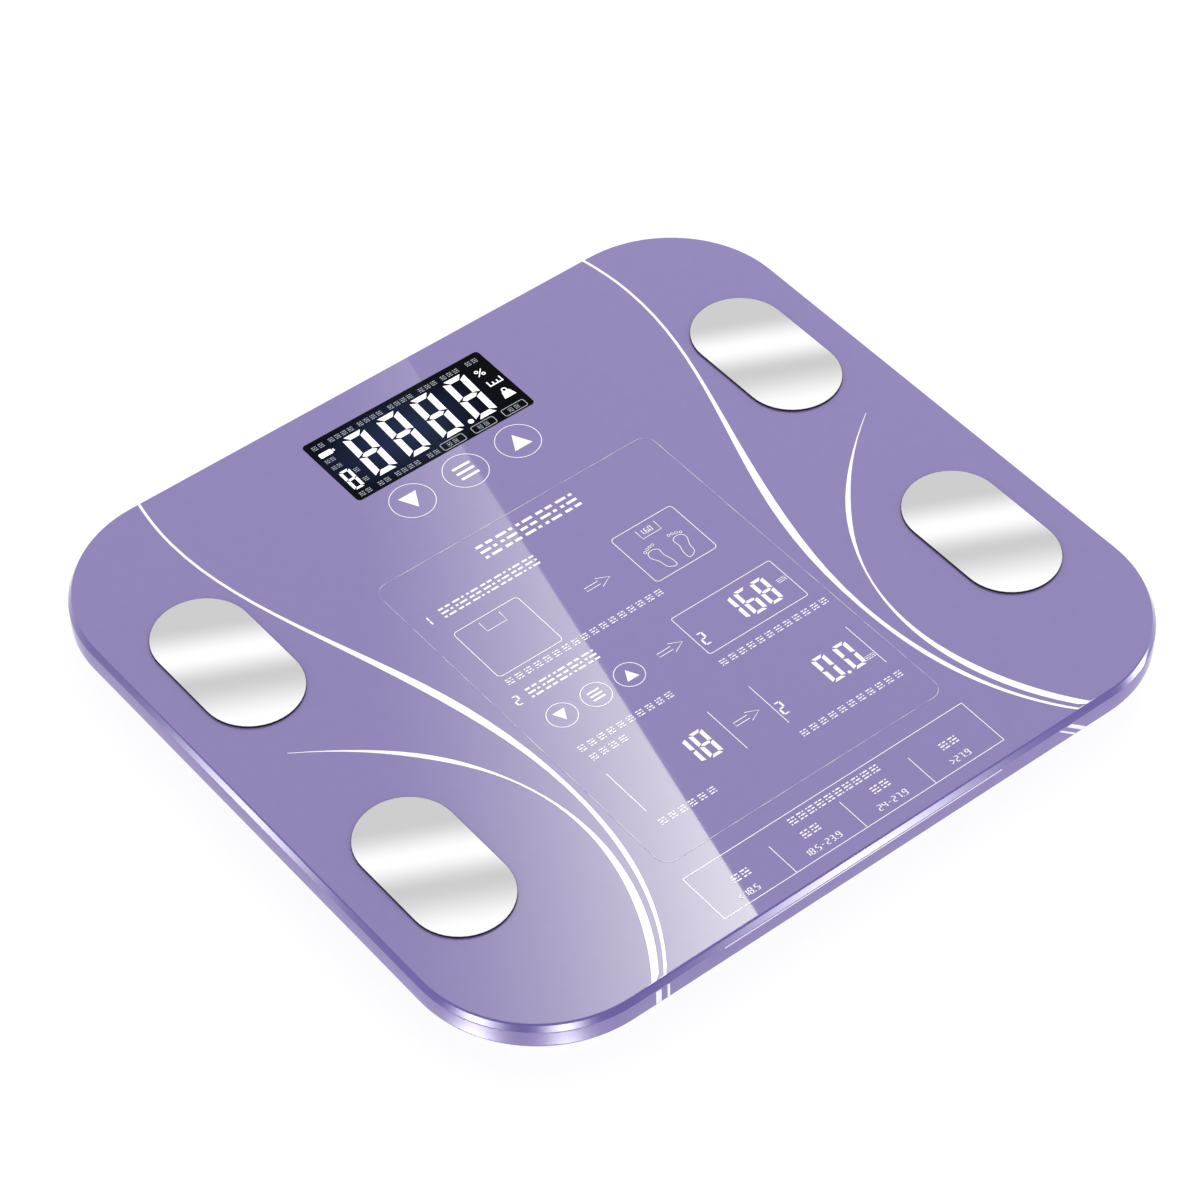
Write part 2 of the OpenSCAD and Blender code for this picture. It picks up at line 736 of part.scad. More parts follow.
// Springy tongue at the door's free end
module latch_tongue() {
    half_w = 4;
    barb_low = door_top + 1.6;
    tip = door_top + 2.6;
    box([door_half_l - 2, -half_w, door_top - 0.2], [door_half_l - 1, half_w, tip]);
    box([door_half_l - 2, -half_w, barb_low], [door_half_l - 0.3, half_w, tip]);
}

// ---- Wires ----

// One colour of the three wires to each load cell, with its place of -1, 0 or 1 in the flat bundle
module cell_wires(place) {
    both_sides() for (route = [rear_cell_route, front_cell_route])
        tube(beside(spline(route, 3), place * wire_pitch), wire_d / 2, wire_sides);
}

module electrode_wires() {
    color("royalblue") both_sides() for (route = [rear_electrode_route, front_electrode_route]) wire(route);
}

module wire(route) {
    tube(spline(route, 3), wire_d / 2, wire_sides);
}

glass_platform();
printed_film();
base_tray();
bonding_discs();
perimeter_gasket();
electrode(-1, 1);  // electrode_rear_left
electrode(1, 1);  // electrode_rear_right
electrode(-1, -1);  // electrode_front_left
electrode(1, -1);  // electrode_front_right
electrode_adhesive();
electrode_studs();
electrode_washers();
electrode_terminals();
electrode_nuts();
foot_cap(-1, 1);  // foot_cap_rear_left
foot_cap(1, 1);  // foot_cap_rear_right
foot_cap(-1, -1);  // foot_cap_front_left
foot_cap(1, -1);  // foot_cap_front_right
foot_pad(-1, 1);  // foot_pad_rear_left
foot_pad(1, 1);  // foot_pad_rear_right
foot_pad(-1, -1);  // foot_pad_front_left
foot_pad(1, -1);  // foot_pad_front_right
load_cell(-1, 1);  // load_cell_rear_left
load_cell(1, 1);  // load_cell_rear_right
load_cell(-1, -1);  // load_cell_front_left
load_cell(1, -1);  // load_cell_front_right
strain_gauges();
main_board();
board_screws();
controller_blob();
board_chips();
lcd_glass();
lcd_polariser();
lcd_backlight();
backlight_leds();
lcd_frame();
lcd_gasket();
zebra_strip();
touch_spring(-1);  // touch_spring_down
touch_spring(0);  // touch_spring_set
touch_spring(1);  // touch_spring_up
battery(bay_y + aaa_pitch / 2, 1);  // battery_rear
battery(bay_y - aaa_pitch / 2, -1);  // battery_front
battery_springs();
battery_contacts();
battery_door();
color("crimson") cell_wires(-1);  // cell_wires_red
color("black") cell_wires(0);  // cell_wires_black
color("white") cell_wires(1);  // cell_wires_white
electrode_wires();
color("red") wire(plus_wire_route);  // battery_wire_plus
color("black") wire(minus_wire_route);  // battery_wire_minus
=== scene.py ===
"""Looks of the digital bathroom scale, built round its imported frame. Metres, +Z up, +Y to the display."""
import json
import math

import bmesh
import bpy
from mathutils import Matrix, Vector


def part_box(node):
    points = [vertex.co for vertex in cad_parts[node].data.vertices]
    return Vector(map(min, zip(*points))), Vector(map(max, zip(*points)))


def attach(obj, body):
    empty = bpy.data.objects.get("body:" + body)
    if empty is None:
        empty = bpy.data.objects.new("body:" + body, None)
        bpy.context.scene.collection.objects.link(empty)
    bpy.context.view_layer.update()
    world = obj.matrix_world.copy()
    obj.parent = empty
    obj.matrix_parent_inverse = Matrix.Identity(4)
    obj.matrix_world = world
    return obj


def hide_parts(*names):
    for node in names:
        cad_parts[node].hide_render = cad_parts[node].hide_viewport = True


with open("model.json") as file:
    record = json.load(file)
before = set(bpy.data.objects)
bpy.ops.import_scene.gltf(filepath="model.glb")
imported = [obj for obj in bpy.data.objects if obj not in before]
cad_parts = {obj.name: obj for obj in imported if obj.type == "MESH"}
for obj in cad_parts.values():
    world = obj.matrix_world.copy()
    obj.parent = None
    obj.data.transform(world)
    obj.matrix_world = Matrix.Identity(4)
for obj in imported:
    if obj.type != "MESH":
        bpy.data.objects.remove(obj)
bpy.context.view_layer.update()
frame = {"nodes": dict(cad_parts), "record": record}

MM = 0.001
BODY = "platform"
CORNERS = ("rear_left", "rear_right", "front_left", "front_right")
# Thickness of each layer of print
LAYER = 0.04 * MM

# The glass, from its CAD node; its sides stand back by one layer, for the print on them
glass_low, glass_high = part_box("glass_platform")
HALF_W = (glass_high.x - glass_low.x) / 2 - LAYER
HALF_D = (glass_high.y - glass_low.y) / 2 - LAYER
TOP = glass_high.z
# Corner radius and polished bevel, the same as the CAD node's
CORNER_R = 48 * MM
BEVEL_IN = 1.4 * MM
BEVEL_DOWN = 3 * MM

# Heights of the display window and of the white print on it
SCREEN_Z = TOP + LAYER
INK_Z = SCREEN_Z + LAYER

# Colours of the print, of the bevel and side of the glass, and of the white ink; the bevel's colour is the
# print's purple darkened as painted shade, and the side's is it lightened as painted light
PURPLE = (0.193, 0.149, 0.362)
BEVEL_SHADE_PURPLE = (0.064, 0.030, 0.270)
SIDE_LIT_PURPLE = (0.250, 0.200, 0.440)
WHITE = (0.86, 0.86, 0.87)


# ---- Camera ----

VIEW_AZIMUTH = math.radians(-37.6)
VIEW_ELEVATION = math.radians(46.7)
VIEW_ROLL = math.radians(-1.34)
VIEW_DISTANCE = 1.4538
VIEW_TARGET = Vector((-3.25 * MM, 0.84 * MM, TOP))
# Width of the sensor and focal length, in millimetres
SENSOR = 36.0
FOCAL = 128.4
FARTHEST_SEEN = 100


def camera_axes():
    """The camera's right, up and backward directions."""
    az, el, roll = VIEW_AZIMUTH, VIEW_ELEVATION, VIEW_ROLL
    back = Vector((math.sin(az) * math.cos(el), -math.cos(az) * math.cos(el), math.sin(el)))
    right = Vector((math.cos(az), math.sin(az), 0))
    up = back.cross(right)
    turned_right = math.cos(roll) * right + math.sin(roll) * up
    turned_up = -math.sin(roll) * right + math.cos(roll) * up
    return turned_right, turned_up, back


def add_camera():
    right, up, back = camera_axes()
    data = bpy.data.cameras.new("camera")
    data.sensor_width = SENSOR
    data.lens = FOCAL
    data.clip_end = FARTHEST_SEEN
    camera = bpy.data.objects.new("camera", data)
    camera.matrix_world = Matrix.Translation(VIEW_TARGET + VIEW_DISTANCE * back) @ Matrix(
        (right, up, back)).transposed().to_4x4()
    bpy.context.scene.collection.objects.link(camera)
    bpy.context.scene.camera = camera


add_camera()
bpy.context.scene.view_settings.view_transform = "Standard"


# ---- Materials ----

class Shader:
    """A material round one Principled shader, with short calls for the nodes that this object needs."""

    def __init__(self, name, **values):
        self.material = bpy.data.materials.new(name)
        self.material.use_nodes = True
        self.tree = self.material.node_tree
        self.main = self.tree.nodes["Principled BSDF"]
        for key, value in values.items():
            self.set(key, value)
        self.place = self.tree.nodes.new("ShaderNodeTexCoord").outputs["Object"]

    def set(self, key, value):
        socket = self.main.inputs[key.replace("_", " ")]
        socket.default_value = (*value, 1) if isinstance(value, tuple) else value

    def link(self, output, key):
        self.tree.links.new(output, self.main.inputs[key])

    def stretched(self, scale, shift=(0, 0, 0)):
        """Object coordinates scaled and shifted, for grain that runs one way or a patch in one place."""
        node = self.tree.nodes.new("ShaderNodeMapping")
        node.inputs["Location"].default_value = shift
        node.inputs["Scale"].default_value = scale
        self.tree.links.new(self.place, node.inputs["Vector"])
        return node.outputs["Vector"]

    def noise(self, scale, detail=3.0, vector=None):
        node = self.tree.nodes.new("ShaderNodeTexNoise")
        node.inputs["Scale"].default_value = scale
        node.inputs["Detail"].default_value = detail
        self.tree.links.new(vector or self.place, node.inputs["Vector"])
        return node.outputs["Fac"]

    def ramp(self, factor, stops, blend="LINEAR"):
        node = self.tree.nodes.new("ShaderNodeValToRGB")
        node.color_ramp.interpolation = blend
        bands = node.color_ramp.elements
        while len(bands) < len(stops):
            bands.new(1.0)
        for band, (at, colour) in zip(bands, stops):
            band.position = at
            band.color = (*colour, 1)
        self.tree.links.new(factor, node.inputs["Fac"])
        return node.outputs["Color"]

    def spread(self, factor, low, high):
        """A factor of 0 to 1 mapped onto low to high."""
        node = self.tree.nodes.new("ShaderNodeMapRange")
        node.inputs["To Min"].default_value = low
        node.inputs["To Max"].default_value = high
        self.tree.links.new(factor, node.inputs["Value"])
        return node.outputs["Result"]

    def bump(self, factor, height, strength=0.3):
        node = self.tree.nodes.new("ShaderNodeBump")
        node.inputs["Distance"].default_value = height
        node.inputs["Strength"].default_value = strength
        self.tree.links.new(factor, node.inputs["Height"])
        self.link(node.outputs["Normal"], "Normal")


def shade(colour, amount):
    return tuple(min(1.0, c * amount) for c in colour)


def print_ground():
    """Gloss print seen through a clear top coat, with faint mottling and smears."""
    s = Shader("print_ground", Roughness=0.03, IOR=1.5, Coat_Weight=0.35, Coat_Roughness=0.01)
    mottled = [(0.3, shade(PURPLE, 0.985)), (0.7, shade(PURPLE, 1.015))]
    s.link(s.ramp(s.noise(260, 4), mottled), "Base Color")
    s.link(s.spread(s.noise(18, 5), 0.012, 0.035), "Roughness")
    return s.material


def polished_edge(name, colour, coat, gloss):
    """Polished edge of the glass, coloured by the print behind it; the colour passed in carries painted
    shade for the bevel and painted light for the side.
    """
    s = Shader(name, IOR=1.5, Coat_Weight=coat, Coat_Roughness=0.03, Specular_IOR_Level=gloss)
    mottled = [(0.35, shade(colour, 0.97)), (0.65, shade(colour, 1.03))]
    s.link(s.ramp(s.noise(120, 3), mottled), "Base Color")
    s.link(s.spread(s.noise(900, 2), 0.03, 0.07), "Roughness")
    s.bump(s.noise(1400, 2), 0.01 * MM, 0.1)
    return s.material


def white_ink():
    s = Shader("white_ink", IOR=1.5, Coat_Weight=0.3, Coat_Roughness=0.03)
    s.link(s.ramp(s.noise(900, 3), [(0.3, shade(WHITE, 0.97)), (0.7, WHITE)]), "Base Color")
    s.link(s.spread(s.noise(300, 3), 0.1, 0.2), "Roughness")
    return s.material


# Painted reflection on the steel: the greys of its bright and dull bands in turn, and where they lie, in
# millimetres across from the plate's middle
STEEL_REFLECTION_BRIGHT = (0.92, 0.92, 0.92)
STEEL_REFLECTION_DULL = (0.56, 0.56, 0.56)
STEEL_REFLECTION_BANDS = (-32, -10, 5, 21)
# The painted reflection's bands follow one another in this direction
REFLECTION_BANDS_RUN = (0.5, 1, 0)


def steel_painted_reflection():
    """Polished steel with broad soft bands of painted reflection in its colour, fine grain and a few
    smears.
    """
    s = Shader("electrode_steel", Metallic=1.0)
    across = s.tree.nodes.new("ShaderNodeVectorMath")
    across.operation = "DOT_PRODUCT"
    across.inputs[1].default_value = REFLECTION_BANDS_RUN
    s.tree.links.new(s.place, across.inputs[0])
    place = s.tree.nodes.new("ShaderNodeMapRange")
    low, high = STEEL_REFLECTION_BANDS[0] * MM, STEEL_REFLECTION_BANDS[-1] * MM
    place.inputs["From Min"].default_value = low
    place.inputs["From Max"].default_value = high
    s.tree.links.new(across.outputs["Value"], place.inputs["Value"])
    # Bright and dull bands in turn: painted reflection, not the steel's own colour
    reflection_greys = (STEEL_REFLECTION_BRIGHT, STEEL_REFLECTION_DULL, STEEL_REFLECTION_BRIGHT, STEEL_REFLECTION_DULL)
    stops = [((at * MM - low) / (high - low), grey) for at, grey in zip(STEEL_REFLECTION_BANDS, reflection_greys)]
    s.link(s.ramp(place.outputs["Result"], stops, "EASE"), "Base Color")
    grain = s.noise(1, 4, s.stretched((90, 3200, 90)))
    s.link(s.spread(grain, 0.16, 0.24), "Roughness")
    s.bump(grain, 0.0015 * MM, 0.15)
    return s.material


def rim_painted_shadow():
    """Turned-down side of a plate, painted near-black as the shadow where it meets the glass."""
    s = Shader("electrode_rim_painted_shadow", Metallic=1.0)
    s.link(s.ramp(s.noise(500, 3), [(0.3, (0.035, 0.035, 0.045)), (0.7, (0.06, 0.06, 0.07))]), "Base Color")
    s.link(s.spread(s.noise(900, 3), 0.4, 0.55), "Roughness")
    return s.material


def faint_ink():
    """Thin print that lets the ground show through."""
    s = Shader("faint_ink", IOR=1.5, Roughness=0.1)
    s.link(s.ramp(s.noise(160, 4), [(0.35, shade(PURPLE, 1.5)), (0.65, shade(WHITE, 0.62))]), "Base Color")
    return s.material


def screen_face():
    """Dark display behind the glass, with a navy patch of painted reflection left of its middle."""
    s = Shader("screen_face", Roughness=0.04, IOR=1.5, Specular_IOR_Level=0.03)
    reflection_scale = (22, 44, 1)
    reflection_middle = (screen_centre.x - 9 * MM, screen_centre.y, TOP)
    shift = tuple(-scale * place for scale, place in zip(reflection_scale, reflection_middle))
    # Round patch of painted reflection, navy, left of the display's middle
    glow = s.tree.nodes.new("ShaderNodeTexGradient")
    glow.gradient_type = "SPHERICAL"
    s.tree.links.new(s.stretched(reflection_scale, shift), glow.inputs["Vector"])
    navy_reflection = [(0.0, (0.001, 0.001, 0.002)), (0.2, (0.001, 0.002, 0.006)), (0.8, (0.009, 0.016, 0.052))]
    s.link(s.ramp(glow.outputs["Fac"], navy_reflection), "Base Color")
    return s.material


def lit_segment(name, colour, strength):
    """A segment of the display, lit from behind."""
    s = Shader(name, Roughness=0.3, Emission_Color=(0.95, 0.97, 1.0), Emission_Strength=strength)
    s.link(s.ramp(s.noise(700, 2), [(0.3, shade(colour, 0.97)), (0.7, shade(colour, 1.03))]), "Base Color")
    return s.material


# Finish of each class: lowest and highest roughness, scale of the grain, and its depth in millimetres
GRAINS = {
    "matte_plastic": (0.42, 0.55, 2200, 0.03),
    "gloss_plastic": (0.12, 0.22, 900, 0.004),
    "rubber": (0.62, 0.8, 1500, 0.05),
    "brushed_steel": (0.28, 0.42, 3000, 0.006),
    "chrome": (0.08, 0.2, 800, 0.003),
    "brass": (0.2, 0.34, 900, 0.004),
    "glass": (0.02, 0.05, 600, 0.001),
}
METALS = ("brushed_steel", "chrome", "brass")


def moulded(row):
    """Finish of one material slot of the record: its colour mottled a little, with its class's grain."""
    kind = row["class"]
    low, high, scale, depth = GRAINS[kind]
    colour = tuple(row["base_color"][:3])
    s = Shader(row["slot"], Metallic=1.0 if kind in METALS else 0.0)
    mottled = [(0.3, shade(colour, 0.975)), (0.7, shade(colour, 1.015))]
    s.link(s.ramp(s.noise(220, 4), mottled), "Base Color")
    s.link(s.spread(s.noise(140, 4), low, high), "Roughness")
    s.bump(s.noise(scale, 3), depth * MM)
    return s.material


# ---- Mesh helpers ----

# The pieces that mirror the studio's soft boxes
glossy = bpy.data.collections.new("glossy")


def piece(name, mesh, *materials, body=BODY, slot=None):
    """A mesh as an object that rides on a body."""
    thing = bpy.data.objects.new(name, mesh)
    bpy.context.scene.collection.objects.link(thing)
    for material in materials:
        mesh.materials.append(material)
    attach(thing, body)
    return thing


def finished_mesh(name, bm, smooth_angle=None):
    bmesh.ops.recalc_face_normals(bm, faces=bm.faces)
    mesh = bpy.data.meshes.new(name)
    bm.to_mesh(mesh)
    bm.free()
    if smooth_angle is not None:
        mesh.shade_smooth()
        mesh.set_sharp_from_angle(angle=smooth_angle)
    return mesh


def arc(x, y, r, start, end, steps):
    """Points from angle start to angle end, in degrees, round x, y."""
    turn = [math.radians(start + (end - start) * i / steps) for i in range(steps + 1)]
    return [(x + r * math.cos(a), y + r * math.sin(a)) for a in turn]


def round_rect(x0, y0, x1, y1, r, steps=6):
    """Outline of a rectangle with round corners, anticlockwise."""
    corners = ((x1 - r, y1 - r, 0), (x0 + r, y1 - r, 90), (x0 + r, y0 + r, 180), (x1 - r, y0 + r, 270))
    return [p for x, y, a in corners for p in arc(x, y, r, a, a + 90, steps)]


def lofted(rings):
    """A closed solid through rings of equally many points, from the lowest to the highest."""
    bm = bmesh.new()
    loops = [[bm.verts.new(p) for p in ring] for ring in rings]
    for low, high in zip(loops, loops[1:]):
        for i in range(len(low)):
            j = (i + 1) % len(low)
            bm.faces.new((low[i], low[j], high[j], high[i]))
    bm.faces.new(list(reversed(loops[0])))
    bm.faces.new(loops[-1])
    return bm


def spline(points, steps=10):
    """A smooth curve through the points, with steps to each span."""
    out = []
    for i in range(len(points) - 1):
        a, b = points[max(i - 1, 0)], points[i]
        c, d = points[i + 1], points[min(i + 2, len(points) - 1)]
        for k in range(steps):
            t = k / steps
            out.append(tuple(0.5 * (2 * q + (r - p) * t + (2 * p - 5 * q + 4 * r - s) * t * t
                + (3 * q - p - 3 * r + s) * t ** 3) for p, q, r, s in zip(a, b, c, d)))
    return out + [tuple(points[-1])]


def cubics(points, steps=20):
    """Points along joined cubic pieces; every third point is an end, and the ones between are handles."""
    out = []
    for start in range(0, len(points) - 1, 3):
        a, b, c, d = points[start:start + 4]
        for k in range(steps):
            t = k / steps
            u = 1 - t
            out.append(tuple(u ** 3 * p + 3 * u * u * t * q + 3 * u * t * t * r + t ** 3 * s
                for p, q, r, s in zip(a, b, c, d)))
    return out + [points[-1]]


def peak(at, middle, width, height):
    """A soft peak of a height round the middle."""
    return height * math.exp(-((at - middle) / width) ** 2)


# ---- Print: flat shapes drawn in millimetres from the middle of the glass ----

# Width of the finest printed lines, in millimetres
HAIRLINE = 0.28


class Print:
    """Thin flat shapes in one mesh. Lengths are millimetres; z is the height that they lie at."""

    def __init__(self, z=INK_Z, thickness=LAYER):
        self.bm = bmesh.new()
        self.low = z - thickness
        self.high = z

    def rows(self, points):
        """The points at the shape's lower and upper height, kept on the flat of the glass."""
        edge = (HALF_D - BEVEL_IN) / MM
        flat = [(x * MM, max(-edge, min(y, edge)) * MM) for x, y in points]
        return [[self.bm.verts.new((x, y, z)) for x, y in flat] for z in (self.low, self.high)]

    def shape(self, points):
        """A filled outline."""
        low, high = self.rows(points)
        for i in range(len(points)):
            j = (i + 1) % len(points)
            self.bm.faces.new((low[i], low[j], high[j], high[i]))
        self.bm.faces.new(list(reversed(low)))
        self.bm.faces.new(high)

    def line(self, points, width, closed=False):
        """A line of one width, or of the widths in a list with one for each point."""
        count = len(points)
        left, right = [], []
        for i, (x, y) in enumerate(points):
            before = points[i - 1] if closed or i else points[i]
            after = points[(i + 1) % count] if closed or i + 1 < count else points[i]
            dx, dy = after[0] - before[0], after[1] - before[1]
            size = math.hypot(dx, dy) or 1
            half = (width[i] if isinstance(width, list) else width) / 2
            left.append((x - dy / size * half, y + dx / size * half))
            right.append((x + dy / size * half, y - dx / size * half))
        ll, lh = self.rows(left)
        rl, rh = self.rows(right)
        for i in range(count if closed else count - 1):
            j = (i + 1) % count
            self.bm.faces.new((lh[i], rh[i], rh[j], lh[j]))
            self.bm.faces.new((ll[j], rl[j], rl[i], ll[i]))
            self.bm.faces.new((ll[i], lh[i], lh[j], ll[j]))
            self.bm.faces.new((rl[j], rh[j], rh[i], rl[i]))
        if not closed:
            for i in (0, count - 1):
                self.bm.faces.new((ll[i], rl[i], rh[i], lh[i]))

    def frame(self, x0, y0, x1, y1, r, width):
        self.line(round_rect(x0, y0, x1, y1, r), width, closed=True)

    def ring(self, x, y, r, width):
        self.line(arc(x, y, r, 0, 360, 40)[:-1], width, closed=True)

    def bar(self, x0, y0, x1, y1):
        """A bar with softened corners."""
        self.shape(round_rect(x0, y0, x1, y1, 0.24 * min(x1 - x0, y1 - y0), 2))

    def marks(self, x, y, size, count, pitch):
        """A row of small brick-like blocks in place of words, from x along, centred on y."""
        pen, course = 0.17 * size, 0.41 * size
        first_joint, joint_step = 0.22 * size, 0.2 * size
        for k in range(count):
            left = x + k * pitch
            for row in range(3):
                low = y - size / 2 + course * row
                joint = left + first_joint + joint_step * ((k + 2 * row) % 3)
                for start, end in ((left, joint), (joint + pen, left + size)):
                    self.shape([(start, low), (end, low), (end, low + pen), (start, low + pen)])

    def segments(self, char, x, y, w, h, slant=0.0):
        """A seven-segment digit with its lower left corner at x, y, leaning by slant at its top."""
        lit = {"0": "abcdef", "1": "bc", "2": "abged", "3": "abgcd", "4": "fgbc", "5": "afgcd",
            "6": "afgedc", "7": "abc", "8": "abcdefg", "9": "abcdfg", "-": "g"}[char]
        t, u = 0.27 * w, 0.095 * h
        gap, cut, mid = 0.03 * w, 0.09 * w, h / 2
        top = [(cut + gap, h), (w - cut - gap, h), (w - t - gap, h - u), (t + gap, h - u)]
        upper = [(0, mid + gap), (0, h - cut - gap), (t, h - u - gap), (t, mid + u / 2 + gap)]
        point = 0.6 * t
        middle = [(point, mid), (t + gap, mid + u / 2), (w - t - gap, mid + u / 2), (w - point, mid),
            (w - t - gap, mid - u / 2), (t + gap, mid - u / 2)]
        outlines = {"a": top, "d": [(px, h - py) for px, py in top], "g": middle,
            "f": upper, "e": [(px, h - py) for px, py in upper],
            "b": [(w - px, py) for px, py in upper], "c": [(w - px, h - py) for px, py in upper]}
        for name in lit:
            self.shape([(x + px + slant * py / h, y + py) for px, py in outlines[name]])

    def number(self, text, x, y, w, h):
        """A number in seven-segment digits, with stops and comparison signs."""
        dot = 0.22 * w
        for char in text:
            if char == ".":
                self.bar(x - dot / 2, y, x + dot / 2, y + dot)
                x += 1.6 * dot
            elif char in "<>":
                tip, tail = (x, x + 0.8 * w) if char == "<" else (x + 0.8 * w, x)
                self.line([(tail, y + 0.85 * h), (tip, y + h / 2), (tail, y + 0.15 * h)], dot)
                x += 1.15 * w
            else:
                self.segments(char, x, y, w, h)
                x += 1.27 * w

    def arrow(self, x, y, length, height):
        """Outline of an arrow that points right, from its tail's middle."""
        neck, shaft, barb = x + 0.55 * length, 0.18 * height, height / 2
        self.line([(x, y + shaft), (neck, y + shaft), (neck, y + barb), (x + length, y),
            (neck, y - barb), (neck, y - shaft), (x, y - shaft)], HAIRLINE, closed=True)

    def key(self, x, y, r, sign):
        """A ring with the sign for down, menu or up."""
        self.ring(x, y, r, HAIRLINE)
        half, bar_pitch, half_bar, foot = 0.46 * r, 0.34 * r, 0.07 * r, 0.42 * r
        if sign == "menu":
            for row in (-1, 0, 1):
                middle = y + row * bar_pitch
                self.bar(x - half, middle - half_bar, x + half, middle + half_bar)
        else:
            way = 1 if sign == "up" else -1
            self.shape([(x - half, y - way * foot), (x + half, y - way * foot), (x, y + way * half)])

    def done(self, name, material):
        glossy.objects.link(piece(name, finished_mesh(name, self.bm), material))


# ---- Glass platform ----

def platform_profile():
    """(inset, height) from the underside, up the side, over the bevel to the top face."""
    low, shoulder = glass_low.z, TOP - BEVEL_DOWN
    arris, soft = 0.5 * MM, 0.25 * MM
    slope = math.atan2(BEVEL_DOWN, BEVEL_IN)
    profile = [(arris - arris * math.sin(a), low + arris - arris * math.cos(a))
        for a in (math.radians(15 * i) for i in range(7))]
    # The bevel's two edges are softened by points that lie a share of soft away from them
    profile += [(0, shoulder - soft), (soft * 0.15, shoulder + soft * 0.6)]
    run = soft / math.tan(slope / 2)
    profile += [(BEVEL_IN - soft * 0.6, TOP - soft * 1.1), (BEVEL_IN - soft * 0.1, TOP - soft * 0.35)]
    profile += [(BEVEL_IN + run * 0.4, TOP)]
    return profile


def platform():
    """The glass as one closed solid: side, bevel and printed top face."""
    rings = []
    for inset, z in platform_profile():
        half_w, half_d = HALF_W - inset, HALF_D - inset
        ring = round_rect(-half_w, -half_d, half_w, half_d, CORNER_R - inset, 24)
        rings.append([(x, y, z) for x, y in ring])
    mesh = finished_mesh("platform_glass", lofted(rings), math.radians(14))
    thing = piece("platform_glass", mesh, polished_edge("side_glass_painted_light", SIDE_LIT_PURPLE, 0.0, 0.15),
        polished_edge("bevel_glass_painted_shade", BEVEL_SHADE_PURPLE, 1.0, 0.5), print_ground(), slot="platform_glass")
    glossy.objects.link(thing)
    # Faces facing up take the print; above the shoulder the bevel takes its painted shade, and below it the
    # side its painted light
    shoulder, facing_up = TOP - BEVEL_DOWN, 0.9
    for face in mesh.polygons:
        if face.normal.z > facing_up:
            face.material_index = 2
        elif face.center.z > shoulder:
            face.material_index = 1
    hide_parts("glass_platform")
    return thing


# ---- Display ----

screen_low = Vector((-38.7 * MM, 90.8 * MM, 0))
screen_high = Vector((39.2 * MM, 125.3 * MM, 0))
screen_centre = (screen_low + screen_high) / 2

# The display's four main digits, in millimetres
DIGIT_W = 9.4
DIGIT_H = 23.2
DIGIT_LEAN = 1.1
DIGIT_PITCH = 14.75
FIRST_DIGIT = (-26.6, 96.3)

# Left edges of the display's outer columns of marks
LEFT_MARKS = -36.4
RIGHT_MARKS = 31.6

# Rows of marks along the display's rear and front: the row's y, then each mark's left edge and blocks
REAR_MARKS = (121.7, ((-36.3, 2), (-29.1, 4), (-16.4, 4), (-3, 4), (10.5, 3), (20.4, 3), (31.6, 2)))
FRONT_MARKS = (93.2, ((-36.4, 2), (-28.3, 2), (-20.9, 4), (-6.8, 2)))


def screen():
    """The dark window, with its digits and small marks lit."""
    face = Print(SCREEN_Z)
    face.shape([(x / MM, y / MM) for x, y in round_rect(*screen_low.xy, *screen_high.xy, 1.6 * MM)])
    face.done("screen_window", screen_face())
    lit = Print()
    main_digits(lit)
    user_digit(lit)
    battery_mark(lit)
    percent(lit, RIGHT_MARKS, 113.8)
    scale_mark(lit, RIGHT_MARKS, 107.4)
    weight_mark(lit, 32, 99)
    lit.done("screen_digits", lit_segment("lit_segment", (0.89, 0.90, 0.90), 0.25))
    dim = Print()
    word_marks(dim)
    framed_marks(dim)
    dim.done("screen_marks", lit_segment("dim_segment", (0.30, 0.33, 0.38), 0.03))


def main_digits(ink):
    x, y = FIRST_DIGIT
    for place in range(4):
        ink.segments("8", x + DIGIT_PITCH * place, y, DIGIT_W, DIGIT_H, DIGIT_LEAN)
    stop_r = 0.55
    ink.ring(15.6, 97.7, stop_r, 2 * stop_r)


def user_digit(ink):
    """The small digit for the user's number."""
    ink.segments("8", LEFT_MARKS, 96, 4.4, 10.6, 0.2)


def battery_mark(ink):
    """A cell with its small end."""
    low, high, right = 116, 118.4, -31
    gap, end_length, step = 0.3, 0.6, 0.6
    ink.bar(LEFT_MARKS, low, right, high)
    ink.bar(right + gap, low + step, right + gap + end_length, high - step)


def word_marks(ink):
    """Blocks in place of the display's words."""
    for y in (113.6, 109.6):
        ink.marks(LEFT_MARKS, y, 1.7, 2, 2.2)
    for y in (104, 98.4):
        ink.marks(-31, y, 1.9, 1, 2)
    for y, places in (REAR_MARKS, FRONT_MARKS):
        for x, count in places:
            ink.marks(x, y, 2, count, 2.8)


def framed_marks(ink):
    """Three framed pairs of blocks along the display's front."""
    low, high, wide, pitch = 91.6, 95.2, 9.8, 13.6
    for place in range(3):
        x = -0.4 + pitch * place
        ink.frame(x, low, x + wide, high, 0.8, 0.3)
        ink.marks(x + 2.4, (low + high) / 2, 1.8, 2, 2.7)


def percent(ink, x, y):
    """A per cent sign with its lower left corner at x, y."""
    dot, pen = 0.6, 0.4
    ink.ring(x + 0.6, y + 2.6, dot, pen)
    ink.ring(x + 2.4, y + 0.6, dot, pen)
    ink.line([(x, y), (x + 3, y + 3.2)], pen)


def scale_mark(ink, x, y):
    """A short rule with ticks, for the length unit."""
    pen, tick_pitch, long_tick, short_tick = 0.5, 1.8, 2.6, 1.6
    ink.line([(x, y), (x + 6, y)], pen)
    for tick in range(4):
        at = x + 0.3 + tick_pitch * tick
        ink.line([(at, y), (at, y + (long_tick if tick % 3 == 0 else short_tick))], pen)


